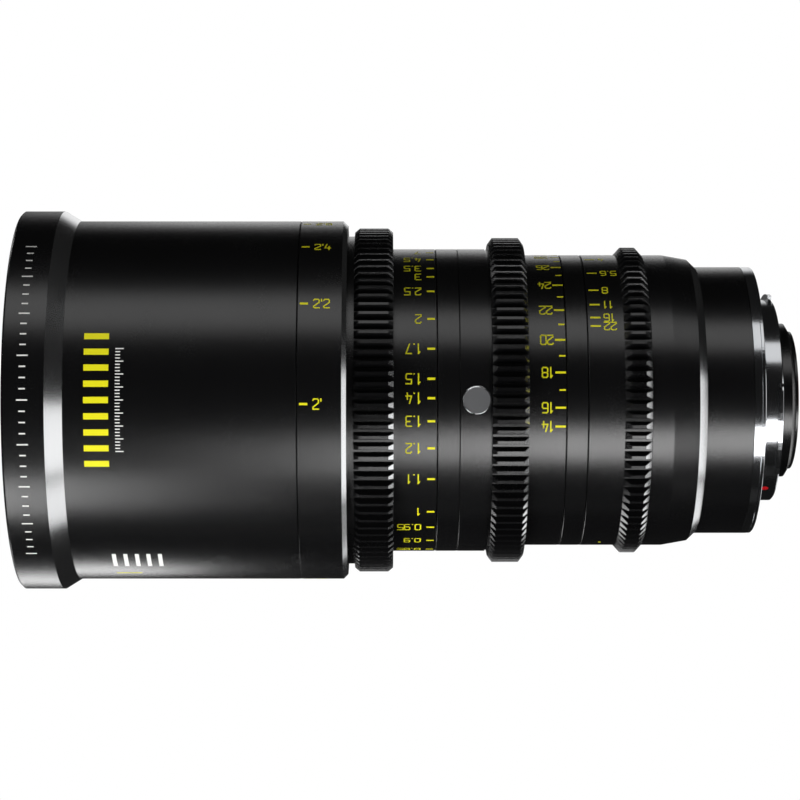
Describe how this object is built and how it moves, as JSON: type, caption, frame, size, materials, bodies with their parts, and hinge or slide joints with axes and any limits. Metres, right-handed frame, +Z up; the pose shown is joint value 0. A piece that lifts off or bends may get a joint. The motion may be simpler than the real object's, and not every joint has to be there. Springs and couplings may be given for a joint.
{
  "type": "cinema zoom lens",
  "caption": "Cinema zoom lens: black metal barrel with geared focus, zoom and iris rings, scales, sliding inner groups, bladed iris and a chromed bayonet.",
  "frame": {"origin": "centre of the seating plane of the mount flange, on the optical axis", "axes": "+X along the optical axis out of the mount towards the camera, -X towards the scene, +Z up as in the picture, -Y the side that the picture shows"},
  "size_m": [0.1922, 0.095, 0.095],
  "materials": {
    "anodised_black": "satin black anodised",
    "matt_black": "matt black anodised",
    "bare_aluminium": "machined",
    "bright_steel": "turned bright",
    "chromed_brass": "polished chrome",
    "brass_pins": "machined",
    "blade_steel": "blackened",
    "red_paint": "gloss",
    "yellow_enamel": "satin",
    "white_enamel": "satin",
    "coated_glass": "coated"
  },
  "bodies": {
    "barrel": {"front_bezel": "anodised_black", "front_barrel": "anodised_black", "front_cell": "matt_black", "front_retaining_ring": "matt_black", "front_element": "coated_glass", "second_element": "coated_glass", "guide_tube": "bare_aluminium", "focus_index_ring": "anodised_black", "cap_ring": "anodised_black", "side_cap": "bright_steel", "zoom_iris_index_ring": "anodised_black", "iris_base_plate": "matt_black", "iris_snap_ring": "bright_steel", "rear_housing": "anodised_black", "mount_barrel": "anodised_black", "bayonet_mount": "chromed_brass", "mount_screws": "bright_steel", "mount_index_dot": "red_paint", "bayonet_stop_pin": "bright_steel", "rear_baffle": "matt_black", "relay_cell": "matt_black", "relay_element": "coated_glass", "rear_element": "coated_glass"},
    "focus_ring": {"focus_feet_ring": "anodised_black", "focus_gear_ring": "anodised_black", "focus_metre_ring": "anodised_black", "focus_cam_sleeve": "bare_aluminium"},
    "focus_group": {"focus_cell": "matt_black", "focus_element": "coated_glass", "focus_followers": "brass_pins"},
    "zoom_ring": {"zoom_gear_ring": "anodised_black", "zoom_scale_ring": "anodised_black", "zoom_cam_tube": "bare_aluminium", "zoom_key": "brass_pins"},
    "variator": {"variator_cell": "matt_black", "variator_element": "coated_glass", "variator_followers": "brass_pins"},
    "compensator": {"compensator_cell": "matt_black", "compensator_element": "coated_glass", "compensator_followers": "brass_pins"},
    "iris_ring": {"iris_scale_ring": "anodised_black", "iris_gear_ring": "anodised_black", "iris_drive_ring": "bare_aluminium", "iris_key": "brass_pins"},
    "iris_blade_1": {"iris_blade_1": "blade_steel"},
    "iris_blade_2": {"iris_blade_2": "blade_steel"},
    "iris_blade_3": {"iris_blade_3": "blade_steel"},
    "iris_blade_4": {"iris_blade_4": "blade_steel"},
    "iris_blade_5": {"iris_blade_5": "blade_steel"},
    "iris_blade_6": {"iris_blade_6": "blade_steel"},
    "iris_blade_7": {"iris_blade_7": "blade_steel"},
    "iris_blade_8": {"iris_blade_8": "blade_steel"},
    "iris_blade_9": {"iris_blade_9": "blade_steel"}
  },
  "joints": [
    {"name": "focus_turn", "type": "hinge", "parent": "barrel", "child": "focus_ring", "pos_m": [0, 0, 0], "axis": [-1, 0, 0], "range_deg": [0, 270]},
    {"name": "focus_group_slide", "type": "slide", "parent": "barrel", "child": "focus_group", "axis": [-1, 0, 0], "range_m": [0, 0.0108]},
    {"name": "zoom_turn", "type": "hinge", "parent": "barrel", "child": "zoom_ring", "pos_m": [0, 0, 0], "axis": [-1, 0, 0], "range_deg": [0, 100]},
    {"name": "variator_slide", "type": "slide", "parent": "barrel", "child": "variator", "axis": [-1, 0, 0], "range_m": [0, 0.022]},
    {"name": "compensator_slide", "type": "slide", "parent": "barrel", "child": "compensator", "axis": [1, 0, 0], "range_m": [0, 0.008]},
    {"name": "iris_turn", "type": "hinge", "parent": "barrel", "child": "iris_ring", "pos_m": [0, 0, 0], "axis": [-1, 0, 0], "range_deg": [0, 61]},
    {"name": "iris_blade_1_swing", "type": "hinge", "parent": "barrel", "child": "iris_blade_1", "pos_m": [-0.0326, 0, -0.025], "axis": [-1, 0, 0], "range_deg": [0, 29.43]},
    {"name": "iris_blade_2_swing", "type": "hinge", "parent": "barrel", "child": "iris_blade_2", "pos_m": [-0.0326, 0.01607, -0.01915], "axis": [-1, 0, 0], "range_deg": [0, 29.43]},
    {"name": "iris_blade_3_swing", "type": "hinge", "parent": "barrel", "child": "iris_blade_3", "pos_m": [-0.0326, 0.02462, -0.00434], "axis": [-1, 0, 0], "range_deg": [0, 29.43]},
    {"name": "iris_blade_4_swing", "type": "hinge", "parent": "barrel", "child": "iris_blade_4", "pos_m": [-0.0326, 0.02165, 0.0125], "axis": [-1, 0, 0], "range_deg": [0, 29.43]},
    {"name": "iris_blade_5_swing", "type": "hinge", "parent": "barrel", "child": "iris_blade_5", "pos_m": [-0.0326, 0.00855, 0.02349], "axis": [-1, 0, 0], "range_deg": [0, 29.43]},
    {"name": "iris_blade_6_swing", "type": "hinge", "parent": "barrel", "child": "iris_blade_6", "pos_m": [-0.0326, -0.00855, 0.02349], "axis": [-1, 0, 0], "range_deg": [0, 29.43]},
    {"name": "iris_blade_7_swing", "type": "hinge", "parent": "barrel", "child": "iris_blade_7", "pos_m": [-0.0326, -0.02165, 0.0125], "axis": [-1, 0, 0], "range_deg": [0, 29.43]},
    {"name": "iris_blade_8_swing", "type": "hinge", "parent": "barrel", "child": "iris_blade_8", "pos_m": [-0.0326, -0.02462, -0.00434], "axis": [-1, 0, 0], "range_deg": [0, 29.43]},
    {"name": "iris_blade_9_swing", "type": "hinge", "parent": "barrel", "child": "iris_blade_9", "pos_m": [-0.0326, -0.01607, -0.01915], "axis": [-1, 0, 0], "range_deg": [0, 29.43]}
  ],
  "couplings": [
    {"joint": "focus_group_slide", "follows": "focus_turn", "m_per_rad": 0.0022918},
    {"joint": "variator_slide", "follows": "zoom_turn", "m_per_rad": 0.012605},
    {"joint": "compensator_slide", "follows": "zoom_turn", "m_per_rad": 0.0045837},
    {"joint": "iris_blade_1_swing", "follows": "iris_turn", "ratio": 0.48244},
    {"joint": "iris_blade_2_swing", "follows": "iris_turn", "ratio": 0.48244},
    {"joint": "iris_blade_3_swing", "follows": "iris_turn", "ratio": 0.48244},
    {"joint": "iris_blade_4_swing", "follows": "iris_turn", "ratio": 0.48244},
    {"joint": "iris_blade_5_swing", "follows": "iris_turn", "ratio": 0.48244},
    {"joint": "iris_blade_6_swing", "follows": "iris_turn", "ratio": 0.48244},
    {"joint": "iris_blade_7_swing", "follows": "iris_turn", "ratio": 0.48244},
    {"joint": "iris_blade_8_swing", "follows": "iris_turn", "ratio": 0.48244},
    {"joint": "iris_blade_9_swing", "follows": "iris_turn", "ratio": 0.48244}
  ]
}
